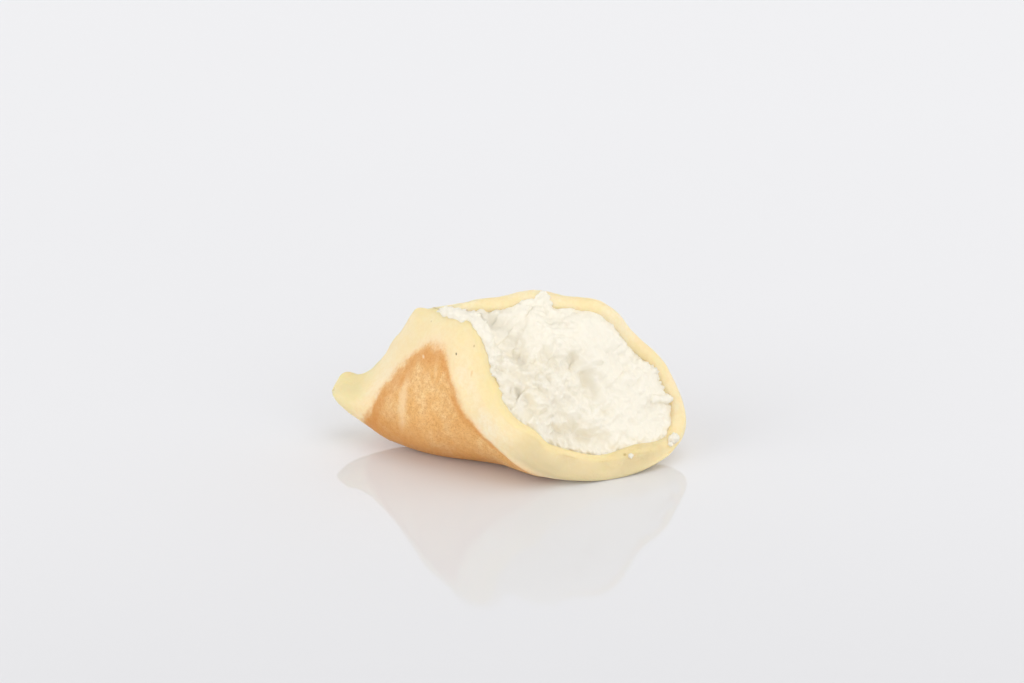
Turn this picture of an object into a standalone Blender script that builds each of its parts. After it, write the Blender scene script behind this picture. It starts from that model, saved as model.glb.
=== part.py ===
"""Qatayef asafiri: a small pancake folded into a horn round clotted cream.

Run with: blender --background --python part.py

The pancake lies on its fold. +X runs along the fold from the pinched tail to
the open mouth, +Z is up, and the low front lip of the mouth is on the -Y side.
A point of the flat pancake is known by its angle round the centre (0 at the
mouth's tip, 180 at the tail, plus to the front, minus to the back) and by its
share of the way out. The pinched seam runs from PINCH_ANGLE to the tail, where
front and back are one.
"""

import math

import bmesh
import bpy
import numpy as np
from mathutils import Matrix, Vector, noise

MM = 0.001

# Driving sizes, in millimetres.
DISC_RADIUS = 40.0
WALL = 4.0
LIP_THICKNESS = 3.8
RIDGE_WIDTH = 5.4
TAIL_WIDTH = 3.4
SEAM_DEPTH = 6.5
POCKET_REACH = 0.66
GAP = 0.7
CREAM_CLEAR = 1.26
PRESSED_FLAT = 0.25
LIP_WAVE = 0.35
PINCH_MARK = 0.8
CREAM_BRIM = 1.2
CREAM_RISE = 3.0
CREAM_LUMPS = 0.9
CREAM_NOSE_DROP = 1.8
CREAM_TAIL_DROP = 1.6

# Angles round the flat pancake, in degrees.
PINCH_ANGLE = 111.0
PINCH_RUN = 16.0
TAIL_THIN_BY = 150.0
TIP_ROUND_FROM = 160.0
LIP_LEAN = 33.0
LIP_WAVES = 15
LIP_WAVE_SHIFT = 82.0
PINCH_MARK_STEP = 18.0
CREAM_NOSE_ANGLE = 100.0
CREAM_NOSE_RUN = 14.0

# Places below are in pancake radii: (key, x, y, z).
# The mouth's lip from the pinch round the back, the tip and the front.
LIP = (
    (-111, -0.450, 0.055, 0.805),
    (-90, -0.095, 0.100, 0.880),
    (-75, 0.165, 0.155, 0.900),
    (-60, 0.415, 0.220, 0.845),
    (-45, 0.595, 0.325, 0.660),
    (-30, 0.750, 0.350, 0.460),
    (-15, 0.830, 0.320, 0.245),
    (0, 0.825, 0.160, 0.125),
    (15, 0.690, -0.030, 0.130),
    (30, 0.495, -0.200, 0.150),
    (45, 0.295, -0.325, 0.250),
    (60, 0.095, -0.365, 0.385),
    (75, -0.035, -0.250, 0.600),
    (90, -0.150, -0.160, 0.805),
    (111, -0.450, 0.055, 0.805),
)
# The pinched seam from the mouth back to the tail's tip.
SEAM = (
    (111, -0.450, 0.055, 0.805),
    (125, -0.600, 0.140, 0.730),
    (140, -0.740, 0.190, 0.550),
    (155, -0.865, 0.190, 0.385),
    (168, -1.020, 0.165, 0.345),
    (180, -1.085, 0.090, 0.255),
)
# The fold underneath, keyed by its place along the flat pancake, -1 to 1.
FOLD = (
    (-0.93, -1.020, 0.078, 0.185),
    (-0.82, -0.910, 0.065, 0.110),
    (-0.65, -0.762, 0.040, 0.040),
    (-0.40, -0.520, 0.005, 0.006),
    (0.00, -0.100, -0.020, 0.000),
    (0.50, 0.413, 0.030, 0.000),
    (0.85, 0.757, 0.108, 0.015),
)
MOUTH_AXIS = np.array((0.50, -0.30, 0.81))
SEAM_AXIS = np.array((0.0, 0.24, 0.97))
SEAM_SIDE = np.array((0.0, 0.97, -0.24))

# How a wall bellies out between the fold and the edge, in pancake radii.
FOOT = 0.24
BELLY_FRONT = 0.42
BELLY_BACK = 0.34
NECK_WIDTH = 0.07
# The same in shares: of the rib's climb, and of the belly lost toward the mouth.
FOOT_SLANT = 0.2
NECK_PULL = 0.28
BELLY_LOSS = 0.35
BELLY_DROOP = math.radians(20)
# How much narrower an inner layer is at each place, for each millimetre it lies inside.
FOOT_TUCK = 0.7
BELLY_TUCK = 1.6
NECK_TUCK = 0.3
NECK_LEAST = 0.8
# How far along the seam's pocket the cream reaches, and how soon it gets there.
CREAM_TAIL_REACH = 0.8
CREAM_TAIL_RUN = 0.25

# Mesh density.
FREE_STEPS = 30
SEAM_STEPS = 18
RINGS = 13
EDGE_STEPS = 4
CREAM_ROWS = 18


def unit(vector):
    return vector / max(np.linalg.norm(vector), 1e-9)


def smooth(value, start, end):
    """0 at start, 1 at end, with an even run between them."""
    t = min(max((value - start) / (end - start), 0.0), 1.0)
    return t * t * (3 - 2 * t)


def curve(knots, scale=DISC_RADIUS):
    """A smooth curve through knots of (key, x, y, z)."""
    table = np.array(knots, float)
    keys, places = table[:, 0], table[:, 1:] * scale
    slopes = np.gradient(places, keys, axis=0)

    def place(key):
        i = int(np.clip(np.searchsorted(keys, key) - 1, 0, len(keys) - 2))
        step = keys[i + 1] - keys[i]
        t = (key - keys[i]) / step
        return (
            (2 * t**3 - 3 * t**2 + 1) * places[i]
            + (t**3 - 2 * t**2 + t) * step * slopes[i]
            + (3 * t**2 - 2 * t**3) * places[i + 1]
            + (t**3 - t**2) * step * slopes[i + 1]
        )

    return place


lip_curve = curve(LIP)
seam_curve = curve(SEAM)


def side_of(angle):
    """-1 for the front of the pancake, +1 for its back."""
    return -1.0 if angle >= 0 else 1.0


def pinched(angle):
    """How far the edge has closed: 0 on the open lip, 1 from the pinch on."""
    return smooth(abs(angle), PINCH_ANGLE - PINCH_RUN, PINCH_ANGLE)


def crest(angle):
    """The top of the edge, which front and back share along the seam."""
    if abs(angle) <= PINCH_ANGLE:
        wave = LIP_WAVE * math.cos(math.radians(LIP_WAVES * (angle + LIP_WAVE_SHIFT)))
        return lip_curve(angle) + unit(MOUTH_AXIS) * wave * (1 - pinched(angle))
    along = abs(angle) - PINCH_ANGLE
    fading = math.sin(math.pi * along / (180 - PINCH_ANGLE))
    wave = PINCH_MARK * math.cos(math.tau * (along - PINCH_MARK_STEP / 2) / PINCH_MARK_STEP)
    return seam_curve(abs(angle)) + SEAM_AXIS * wave * fading


def heading(angle):
    """Which way the wall climbs where it reaches the edge."""
    share = pinched(angle)
    return unit(MOUTH_AXIS * (1 - share) + SEAM_AXIS * share)


def outward(angle):
    """Which way the wall's outer face looks at the edge."""
    share = pinched(angle)
    across = side_of(angle) * SEAM_SIDE
    if share >= 1:
        return across
    along = lip_curve(angle + 1) - lip_curve(angle - 1)
    return unit(unit(np.cross(heading(angle), along)) * (1 - share) + across * share)


def half_width(angle):
    """Half the thickness of the edge, which rounds off at the tail's tip."""
    past_tip = max((abs(angle) - TIP_ROUND_FROM) / (180 - TIP_ROUND_FROM), 0.0)
    thinning = smooth(abs(angle), PINCH_ANGLE, TAIL_THIN_BY)
    ridge = RIDGE_WIDTH + (TAIL_WIDTH - RIDGE_WIDTH) * thinning
    width = LIP_THICKNESS + (ridge - LIP_THICKNESS) * pinched(angle)
    return width / 2 * math.sqrt(max(1 - past_tip**2, 0.0))


def edge(angle, turn):
    """A point on the rounded edge: turn 0 is its outer face, 180 its inner face."""
    radius = half_width(angle)
    round_by = math.radians(turn)
    spoke = math.cos(round_by) * outward(angle) + (math.sin(round_by) - 1) * heading(angle)
    return crest(angle) + radius * spoke


def last_turn(angle):
    """How far the rounded edge turns in; at the pinch it meets the other side half-way."""
    return 180 - 90 * pinched(angle)


def first_turn(angle):
    """How far the wall has already leant in where the rounded edge begins."""
    return LIP_LEAN * (1 - pinched(angle))


def arrival(angle):
    """Which way the wall runs where it meets the rounded edge."""
    lean = math.radians(first_turn(angle))
    return math.cos(lean) * heading(angle) - math.sin(lean) * outward(angle)


def outer_edge(angle):
    return edge(angle, first_turn(angle))


def seam_inside(angle, depth):
    """The line inside the seam where front and back come apart again."""
    reach = PINCH_ANGLE + (abs(angle) - PINCH_ANGLE) * POCKET_REACH
    drop = depth * smooth(abs(angle), PINCH_ANGLE, PINCH_ANGLE + PINCH_RUN)
    return seam_curve(reach) - SEAM_AXIS * drop


def inner_edge(angle):
    if abs(angle) < PINCH_ANGLE:
        return edge(angle, last_turn(angle))
    return seam_inside(angle, SEAM_DEPTH)


def cream_nose():
    """Where the cream's face ends in the notch below the pinch."""
    middle = (inner_edge(CREAM_NOSE_ANGLE) + inner_edge(-CREAM_NOSE_ANGLE)) / 2
    return middle - np.array((0.0, 0.0, CREAM_NOSE_DROP))


def cream_edge(angle):
    """The cream's rim, just inside the lip, then its top line inside the seam."""
    size = abs(angle)
    if size < CREAM_NOSE_ANGLE:
        beside = inner_edge(angle) - outward(angle) * GAP + arrival(angle) * CREAM_BRIM
        share = smooth(size, CREAM_NOSE_ANGLE - CREAM_NOSE_RUN, CREAM_NOSE_ANGLE)
        return beside * (1 - share) + cream_nose() * share
    back = (size - CREAM_NOSE_ANGLE) / (180 - CREAM_NOSE_ANGLE)
    under = PINCH_ANGLE + (180 - PINCH_ANGLE) * back * CREAM_TAIL_REACH
    inside = seam_inside(under, SEAM_DEPTH) - SEAM_AXIS * CREAM_TAIL_DROP
    share = smooth(back, 0.0, CREAM_TAIL_RUN)
    return cream_nose() * (1 - share) + inside * share


def fold_line(first, last, inset):
    """The fold between two given ends, drawn in for the inner layers."""
    ends = (-1, *(first / DISC_RADIUS)), (1, *(last / DISC_RADIUS))
    lift = inset / DISC_RADIUS
    inside = [(k, x - k * lift, y, z + lift) for k, x, y, z in FOLD]
    return curve([ends[0], *(inside[2:] if inset else inside), ends[1]])


class Layer:
    """One face of the folded pancake: ribs that climb from the fold to an edge."""

    def __init__(self, edge_line, inset):
        self.edge_line = edge_line
        self.fold = fold_line(edge_line(180), edge_line(0), inset)
        self.foot = FOOT * DISC_RADIUS - FOOT_TUCK * inset
        self.belly = {
            -1.0: BELLY_FRONT * DISC_RADIUS - BELLY_TUCK * inset,
            1.0: BELLY_BACK * DISC_RADIUS - BELLY_TUCK * inset,
        }
        self.neck = max(NECK_WIDTH * DISC_RADIUS - NECK_TUCK * inset, NECK_LEAST)

    def rib(self, along, side):
        """Control points of the rib at a place along the fold, from -1 to 1."""
        reach = math.sqrt(max(1 - along * along, 0.0))
        angle = -side * math.degrees(math.acos(along))
        low, high = self.fold(along), self.edge_line(angle)
        climb = high - low
        length = np.linalg.norm(climb)
        across = np.array((0.0, side, 0.0))
        sag = np.array((0.0, side * math.cos(BELLY_DROOP), -math.sin(BELLY_DROOP)))
        bulge = sag - np.dot(sag, unit(climb)) * unit(climb)
        bulge = bulge / max(np.linalg.norm(bulge), 0.2)
        full = 1 - BELLY_LOSS * smooth(along, 0.25, 0.9)
        neck = across * self.neck * pinched(angle) * reach
        return (
            low,
            low + across * self.foot * full * reach + climb * (FOOT_SLANT, 0, 0),
            (low + high) / 2 + bulge * self.belly[side] * full * reach**0.8,
            high - arrival(angle) * NECK_PULL * length + neck,
            high,
        )

    def point(self, share, angle):
        """The place of a point of the flat pancake, share of the way to its edge."""
        turn = math.radians(abs(angle))
        along = min(max(share * math.cos(turn), -1.0), 1.0)
        reach = math.sqrt(max(1 - along * along, 1e-12))
        t = min(share * math.sin(turn) / reach, 1.0)
        rib = self.rib(along, side_of(angle))
        last = len(rib) - 1
        weights = [math.comb(last, i) * (1 - t) ** (last - i) * t**i for i in range(last + 1)]
        return sum(weight * place for weight, place in zip(weights, rib))


def settled(place):
    """The place after the skin is pressed flat where it rests."""
    return np.array((place[0], place[1], max(place[2] - PRESSED_FLAT, 0.0)))


outer = Layer(outer_edge, 0.0)
inner = Layer(inner_edge, WALL)
filling = Layer(cream_edge, WALL + CREAM_CLEAR)


# Build the solids


def free_angles(last=PINCH_ANGLE, steps=FREE_STEPS):
    return np.linspace(0.0, last, steps + 1)


def seam_angles():
    return np.linspace(PINCH_ANGLE, 180.0, SEAM_STEPS + 1)


def half_angles(side):
    """The angles of one half, from the mouth's tip to the tail."""
    whole = np.concatenate([free_angles(), seam_angles()[1:]])
    return [-side * max(a, 1e-6) for a in whole]


def add_patch(bm, rows):
    """Faces between rows of points. Shared borders are welded afterwards."""
    grid = [[bm.verts.new(Vector(place) * MM) for place in row] for row in rows]
    for low, high in zip(grid, grid[1:]):
        for a, b, c, d in zip(low, low[1:], high[1:], high):
            bm.faces.new((a, b, c))
            bm.faces.new((a, c, d))


def add_layer(bm, layer, finish):
    """Both halves of one face of the pancake, as rings from the centre to the edge."""
    shares = np.linspace(0.0, 1.0, RINGS + 1)
    for side in (-1.0, 1.0):
        angles = half_angles(side)
        add_patch(bm, [[finish(layer.point(share, a)) for a in angles] for share in shares])


def add_edge(bm):
    """The rounded lip of the open mouth and the rounded ridge of the seam."""
    for side in (-1.0, 1.0):
        angles = [-side * max(a, 1e-6) for a in free_angles()]
        spans = [(a, np.linspace(first_turn(a), last_turn(a), EDGE_STEPS + 1)) for a in angles]
        add_patch(bm, [[settled(edge(a, t)) for t in turns] for a, turns in spans])
    turns = np.linspace(0.0, 180.0, 2 * EDGE_STEPS + 1)
    add_patch(bm, [[settled(edge(a, t)) for t in turns] for a in seam_angles()])


def solid(name, bm, colour):
    """Welds the patches into one closed body and gives it its material."""
    bmesh.ops.remove_doubles(bm, verts=bm.verts, dist=0.002 * MM)
    bmesh.ops.recalc_face_normals(bm, faces=bm.faces)
    mesh = bpy.data.meshes.new(name)
    bm.to_mesh(mesh)
    bm.free()
    material = bpy.data.materials.new(name)
    material.use_nodes = True
    shader = material.node_tree.nodes["Principled BSDF"]
    shader.inputs["Base Color"].default_value = colour
    shader.inputs["Roughness"].default_value = 0.6
    mesh.materials.append(material)
    bpy.context.collection.objects.link(bpy.data.objects.new(name, mesh))
    return mesh


def cream_face(angle, across):
    """The cream's open face: across runs 0 to 1 from the front lip to the back."""
    front, back = cream_edge(angle), cream_edge(-angle)
    fullness = max(math.sin(math.pi * angle / CREAM_NOSE_ANGLE), 0.0) ** 0.4
    swell = 1 - abs(2 * across - 1) ** 3
    flat = front * (1 - across) + back * across
    lumps = noise.fractal(Vector(flat) * 0.16, 0.8, 2.0, 3)
    return flat + unit(MOUTH_AXIS) * fullness * swell * (CREAM_RISE + CREAM_LUMPS * lumps)


def build_pancake():
    bm = bmesh.new()
    add_layer(bm, outer, settled)
    add_layer(bm, inner, settled)
    add_edge(bm)
    return solid("pancake", bm, (0.80, 0.56, 0.28, 1.0))


def build_cream():
    bm = bmesh.new()
    shares = np.linspace(0.0, 1.0, RINGS)
    face_angles = np.linspace(0.0, CREAM_NOSE_ANGLE, CREAM_ROWS + 1)
    walls = np.concatenate([face_angles, np.linspace(CREAM_NOSE_ANGLE, 180.0, SEAM_STEPS + 1)[1:]])
    for side in (-1.0, 1.0):
        angles = [-side * max(a, 1e-6) for a in walls]
        add_patch(bm, [[settled(filling.point(share, a)) for a in angles] for share in shares])
    across = np.linspace(0.0, 1.0, CREAM_ROWS + 1)
    add_patch(bm, [[settled(cream_face(max(a, 1e-6), t)) for t in across] for a in face_angles])
    return solid("cream", bm, (0.90, 0.84, 0.70, 1.0))


def clear_scene():
    for thing in list(bpy.data.objects):
        bpy.data.objects.remove(thing)


def centre(meshes):
    """Moves the meshes so that the middle of the first one's underside is the origin."""
    places = [vertex.co for vertex in meshes[0].vertices]
    low = [min(place[axis] for place in places) for axis in range(3)]
    high = [max(place[axis] for place in places) for axis in range(3)]
    middle = Vector(((low[0] + high[0]) / 2, (low[1] + high[1]) / 2, low[2]))
    for mesh in meshes:
        mesh.transform(Matrix.Translation(-middle))


clear_scene()
centre([build_pancake(), build_cream()])
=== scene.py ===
"""Looks of a small qatayef: a pancake folded into a horn, filled with clotted cream.

The pancake's faces follow the same folded sheet as the CAD solids, finer and with
the skin's small unevenness. A point of the flat pancake is known by its angle round
the centre (0 at the mouth's tip, 180 at the tail, plus to the front, minus to the
back) and by its share of the way out. Lengths are in millimetres until fit() scales
the pieces to the frame's metres.
"""

import functools
import math

import bmesh
import bpy
import numpy as np
from mathutils import Matrix, Vector, kdtree, noise


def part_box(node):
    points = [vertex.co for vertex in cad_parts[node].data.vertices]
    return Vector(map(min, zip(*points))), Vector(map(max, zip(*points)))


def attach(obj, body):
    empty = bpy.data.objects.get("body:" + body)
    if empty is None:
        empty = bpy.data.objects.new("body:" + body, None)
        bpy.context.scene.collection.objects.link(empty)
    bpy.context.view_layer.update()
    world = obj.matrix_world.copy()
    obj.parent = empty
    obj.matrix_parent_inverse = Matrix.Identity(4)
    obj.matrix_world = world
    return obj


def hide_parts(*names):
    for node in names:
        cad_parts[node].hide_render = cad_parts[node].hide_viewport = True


MM = 0.001
NEARLY_ZERO = 1e-9

# The folded sheet's sizes, as in the CAD part.
DISC_RADIUS = 40.0
WALL = 4.0
LIP_THICKNESS = 3.8
RIDGE_WIDTH = 5.4
TAIL_WIDTH = 3.4
SEAM_DEPTH = 6.5
POCKET_REACH = 0.66
PRESSED_FLAT = 0.25
LIP_WAVE = 0.35
PINCH_MARK = 0.8

# Angles round the flat pancake, in degrees.
PINCH_ANGLE = 111.0
PINCH_RUN = 16.0
TAIL_THIN_BY = 150.0
TIP_ROUND_FROM = 160.0
LIP_LEAN = 33.0
LIP_WAVES = 15
LIP_WAVE_SHIFT = 82.0
PINCH_MARK_STEP = 18.0

# Places below are in pancake radii: (key, x, y, z).
# The mouth's lip from the pinch round the back, the tip and the front.
LIP = (
    (-111, -0.450, 0.055, 0.805),
    (-90, -0.095, 0.100, 0.880),
    (-75, 0.165, 0.155, 0.900),
    (-60, 0.415, 0.220, 0.845),
    (-45, 0.595, 0.325, 0.660),
    (-30, 0.750, 0.350, 0.460),
    (-15, 0.830, 0.320, 0.245),
    (0, 0.825, 0.160, 0.125),
    (15, 0.690, -0.030, 0.130),
    (30, 0.495, -0.200, 0.150),
    (45, 0.295, -0.325, 0.250),
    (60, 0.095, -0.365, 0.385),
    (75, -0.035, -0.250, 0.600),
    (90, -0.150, -0.160, 0.805),
    (111, -0.450, 0.055, 0.805),
)
# The pinched seam from the mouth back to the tail's tip.
SEAM = (
    (111, -0.450, 0.055, 0.805),
    (125, -0.600, 0.140, 0.730),
    (140, -0.740, 0.190, 0.550),
    (155, -0.865, 0.190, 0.385),
    (168, -1.020, 0.165, 0.345),
    (180, -1.085, 0.090, 0.255),
)
# The fold underneath, keyed by its place along the flat pancake, -1 to 1. Towards the tail
# it is up to 0.8 mm higher than in the CAD part.
FOLD = (
    (-0.93, -1.020, 0.078, 0.200),
    (-0.82, -0.910, 0.065, 0.130),
    (-0.65, -0.762, 0.040, 0.058),
    (-0.40, -0.520, 0.005, 0.010),
    (0.00, -0.100, -0.020, 0.000),
    (0.50, 0.413, 0.030, 0.000),
    (0.85, 0.757, 0.108, 0.015),
)
MOUTH_AXIS = np.array((0.50, -0.30, 0.81))
SEAM_AXIS = np.array((0.0, 0.24, 0.97))
SEAM_SIDE = np.array((0.0, 0.97, -0.24))

# How a wall bellies out between the fold and the edge, in pancake radii.
FOOT = 0.24
BELLY_FRONT = 0.42
BELLY_BACK = 0.34
NECK_WIDTH = 0.07
# The same in shares: of the rib's climb, and of the belly lost toward the mouth.
FOOT_SLANT = 0.2
NECK_PULL = 0.28
BELLY_LOSS = 0.35
BELLY_LOSS_RUN = (0.25, 0.9)
BELLY_FULLNESS = 0.8
BELLY_DROOP = math.radians(20)
LEAST_BULGE = 0.2
# How much narrower an inner layer is at each place, for each millimetre it lies inside.
FOOT_TUCK = 0.7
BELLY_TUCK = 1.6
NECK_TUCK = 0.3
NECK_LEAST = 0.8

# Mesh density, and the digits of a millimetre in which shared points agree.
FREE_STEPS = 168
SEAM_STEPS = 84
SKIN_ROWS = 118
INNER_ROWS = 30
EDGE_STEPS = 14
BODY_ROWS = 24
FACE_ROWS = 100
FACE_COLUMNS = 40
CREAM_SEAM_STEPS = 40
CREAM_VOXEL = 0.28
WELD_DIGITS = 4


def unit(vector):
    return vector / max(np.linalg.norm(vector), NEARLY_ZERO)


def smooth(value, start, end):
    """0 at start, 1 at end, with an even run between them."""
    t = np.clip((value - start) / (end - start), 0.0, 1.0)
    return t * t * (3 - 2 * t)


def curve(knots):
    """A smooth curve through knots of (key, x, y, z)."""
    table = np.array(knots, float)
    keys, places = table[:, 0], table[:, 1:] * DISC_RADIUS
    slopes = np.gradient(places, keys, axis=0)

    def place(key):
        i = int(np.clip(np.searchsorted(keys, key) - 1, 0, len(keys) - 2))
        step = keys[i + 1] - keys[i]
        t = (key - keys[i]) / step
        return (
            (2 * t**3 - 3 * t**2 + 1) * places[i]
            + (t**3 - 2 * t**2 + t) * step * slopes[i]
            + (3 * t**2 - 2 * t**3) * places[i + 1]
            + (t**3 - t**2) * step * slopes[i + 1]
        )

    return place


lip_curve = curve(LIP)
seam_curve = curve(SEAM)


# How far the edge stands out or draws in by its angle, in millimetres. Minus is the back lip.
SCALLOPS = (
    (-111, 0.0),
    (-96, 0.0),
    (-88, -1.0),
    (-82, 0.2),
    (-77, 0.2),
    (-70, -0.3),
    (-60, 0.0),
    (-52, 0.1),
    (-44, -1.0),
    (-36, -0.6),
    (-28, 0.0),
    (-14, 0.9),
    (-2, 1.0),
    (8, 0.3),
    (27, -0.2),
    (44, -0.9),
    (50, 2.0),
    (55, 1.2),
    (62, 0.0),
    (114, 0.0),
    (119, 0.3),
    (127, 0.9),
    (137, -0.9),
    (147, 0.8),
    (152, 0.2),
    (158, -1.8),
    (166, 0.3),
    (172, 0.4),
    (180, 0.0),
)
# Weights and distances, in degrees, that round the scallops off.
SCALLOP_ROUNDING = ((0.25, -2.5), (0.5, 0.0), (0.25, 2.5))


def table_value(knots, key):
    keys, values = np.array(knots, float).T
    return float(np.interp(key, keys, values))


def scallop(angle):
    """The edge's unevenness at an angle, rounded off between the table's places."""
    key = angle if abs(angle) <= PINCH_ANGLE else abs(angle)
    return sum(weight * table_value(SCALLOPS, key + away) for weight, away in SCALLOP_ROUNDING)


def side_of(angle):
    """-1 for the front of the pancake, +1 for its back."""
    return -1.0 if angle >= 0 else 1.0


def pinched(angle):
    """How far the edge has closed: 0 on the open lip, 1 from the pinch on."""
    return float(smooth(abs(angle), PINCH_ANGLE - PINCH_RUN, PINCH_ANGLE))


def crest(angle):
    """The top of the edge, which front and back share along the seam."""
    if abs(angle) <= PINCH_ANGLE:
        wave = LIP_WAVE * math.cos(math.radians(LIP_WAVES * (angle + LIP_WAVE_SHIFT)))
        out = heading(angle) * scallop(angle)
        return lip_curve(angle) + unit(MOUTH_AXIS) * wave * (1 - pinched(angle)) + out
    along = abs(angle) - PINCH_ANGLE
    fading = math.sin(math.pi * along / (180 - PINCH_ANGLE))
    wave = PINCH_MARK * math.cos(math.tau * (along - PINCH_MARK_STEP / 2) / PINCH_MARK_STEP)
    return seam_curve(abs(angle)) + SEAM_AXIS * (wave * fading + scallop(angle))


def heading(angle):
    """Which way the wall climbs where it reaches the edge."""
    share = pinched(angle)
    return unit(MOUTH_AXIS * (1 - share) + SEAM_AXIS * share)


def outward(angle):
    """Which way the wall's outer face looks at the edge."""
    share = pinched(angle)
    across = side_of(angle) * SEAM_SIDE
    if share >= 1:
        return across
    along = lip_curve(angle + 1) - lip_curve(angle - 1)
    return unit(unit(np.cross(heading(angle), along)) * (1 - share) + across * share)


def half_width(angle):
    """Half the thickness of the edge, which rounds off at the tail's tip."""
    past_tip = max((abs(angle) - TIP_ROUND_FROM) / (180 - TIP_ROUND_FROM), 0.0)
    thinning = smooth(abs(angle), PINCH_ANGLE, TAIL_THIN_BY)
    ridge = RIDGE_WIDTH + (TAIL_WIDTH - RIDGE_WIDTH) * thinning
    width = LIP_THICKNESS + (ridge - LIP_THICKNESS) * pinched(angle)
    return width / 2 * math.sqrt(max(1 - past_tip**2, 0.0))


def edge(angle, turn, sunk=0.0):
    """A point on the rounded edge: turn 0 is its outer face, 180 its inner face."""
    radius = half_width(angle)
    round_by = math.radians(turn)
    spoke = math.cos(round_by) * outward(angle) + math.sin(round_by) * heading(angle)
    return crest(angle) - radius * heading(angle) + (radius - sunk) * spoke


def last_turn(angle):
    """How far the rounded edge turns in; at the pinch it meets the other side half-way."""
    return 180 - 90 * pinched(angle)


def first_turn(angle):
    """How far the wall has already leant in where the rounded edge begins."""
    return LIP_LEAN * (1 - pinched(angle))


def arrival(angle):
    """Which way the wall runs where it meets the rounded edge."""
    lean = math.radians(first_turn(angle))
    return math.cos(lean) * heading(angle) - math.sin(lean) * outward(angle)


def outer_edge(angle):
    return edge(angle, first_turn(angle))


def seam_inside(angle, depth):
    """The line inside the seam where front and back come apart again."""
    reach = PINCH_ANGLE + (abs(angle) - PINCH_ANGLE) * POCKET_REACH
    drop = depth * smooth(abs(angle), PINCH_ANGLE, PINCH_ANGLE + PINCH_RUN)
    return seam_curve(reach) - SEAM_AXIS * drop


def inner_edge(angle):
    if abs(angle) < PINCH_ANGLE:
        return edge(angle, last_turn(angle))
    return seam_inside(angle, SEAM_DEPTH)


def fold_line(first, last, inset):
    """The fold between two given ends, drawn in for the inner layers."""
    ends = (-1, *(first / DISC_RADIUS)), (1, *(last / DISC_RADIUS))
    lift = inset / DISC_RADIUS
    inside = [(k, x - k * lift, y, z + lift) for k, x, y, z in FOLD]
    return curve([ends[0], *(inside[2:] if inset else inside), ends[1]])


class Layer:
    """One face of the folded pancake: ribs that climb from the fold to an edge."""

    def __init__(self, edge_line, inset):
        self.edge_line = edge_line
        self.fold = fold_line(edge_line(180), edge_line(0), inset)
        self.foot = FOOT * DISC_RADIUS - FOOT_TUCK * inset
        self.belly = {
            -1.0: BELLY_FRONT * DISC_RADIUS - BELLY_TUCK * inset,
            1.0: BELLY_BACK * DISC_RADIUS - BELLY_TUCK * inset,
        }
        self.neck = max(NECK_WIDTH * DISC_RADIUS - NECK_TUCK * inset, NECK_LEAST)

    def rib(self, angle):
        """Control points of the rib that meets the edge at this angle."""
        side = side_of(angle)
        along = math.cos(math.radians(angle))
        reach = math.sqrt(max(1 - along * along, 0.0))
        low, high = self.fold(along), self.edge_line(angle)
        climb = high - low
        length = np.linalg.norm(climb)
        across = np.array((0.0, side, 0.0))
        sag = np.array((0.0, side * math.cos(BELLY_DROOP), -math.sin(BELLY_DROOP)))
        bulge = sag - np.dot(sag, unit(climb)) * unit(climb)
        bulge = bulge / max(np.linalg.norm(bulge), LEAST_BULGE)
        full = 1 - BELLY_LOSS * smooth(along, *BELLY_LOSS_RUN)
        neck = across * self.neck * pinched(angle) * reach
        return (
            low,
            low + across * self.foot * full * reach + climb * (FOOT_SLANT, 0, 0),
            (low + high) / 2 + bulge * self.belly[side] * full * reach**BELLY_FULLNESS,
            high - arrival(angle) * NECK_PULL * length + neck,
            high,
        )

    def grid(self, angles, rows):
        """Rows of points from the fold to the edge, one column for each angle."""
        ribs = np.array([self.rib(angle) for angle in angles])
        t = np.linspace(0.0, 1.0, rows + 1)[:, None, None]
        last = ribs.shape[1] - 1
        weights = [math.comb(last, i) * (1 - t) ** (last - i) * t**i for i in range(last + 1)]
        return sum(weight * ribs[None, :, i] for i, weight in enumerate(weights))


def half_angles(side, free=FREE_STEPS, seam=SEAM_STEPS):
    """The angles of one half, from the mouth's tip to the tail."""
    whole = np.concatenate(
        [np.linspace(0.0, PINCH_ANGLE, free + 1), np.linspace(PINCH_ANGLE, 180.0, seam + 1)[1:]]
    )
    return [-side * max(angle, NEARLY_ZERO) for angle in whole]


class Patches:
    """Grids of points that are welded into one mesh, with values for each point."""

    def __init__(self):
        self.points, self.values, self.quads, self.count = [], [], [], 0

    def add(self, grid, values=None):
        rows, columns = grid.shape[:2]
        index = np.arange(rows * columns).reshape(rows, columns) + self.count
        quads = np.stack([index[:-1, :-1], index[:-1, 1:], index[1:, 1:], index[1:, :-1]], axis=-1)
        self.points.append(grid.reshape(-1, 3))
        if values is not None:
            self.values.append(values.reshape(rows * columns, -1))
        self.quads.append(quads.reshape(-1, 4))
        self.count += rows * columns

    def weld(self):
        """Points, values and faces with every shared border point made one."""
        points = np.concatenate(self.points)
        _, first, index = np.unique(
            np.round(points, WELD_DIGITS), axis=0, return_index=True, return_inverse=True
        )
        values = np.concatenate(self.values)[first] if self.values else None
        faces = []
        for quad in index.reshape(-1)[np.concatenate(self.quads)].tolist():
            face = [v for i, v in enumerate(quad) if v != quad[i - 1]]
            if len(set(face)) == len(face) > 2:
                faces.append(face)
        return points[first], values, faces


def mesh_of(name, points, faces):
    mesh = bpy.data.meshes.new(name)
    mesh.from_pydata(points.tolist(), [], faces)
    mesh.update()
    piece = bpy.data.objects.new(name, mesh)
    bpy.context.scene.collection.objects.link(piece)
    bpy.context.view_layer.objects.active = piece
    piece.select_set(True)
    bpy.ops.object.mode_set(mode="EDIT")
    bpy.ops.mesh.select_all(action="SELECT")
    bpy.ops.mesh.normals_make_consistent(inside=False)
    bpy.ops.object.mode_set(mode="OBJECT")
    piece.select_set(False)
    return piece


def points_of(mesh):
    flat = np.empty(len(mesh.vertices) * 3)
    mesh.vertices.foreach_get("co", flat)
    return flat.reshape(-1, 3)


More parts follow.
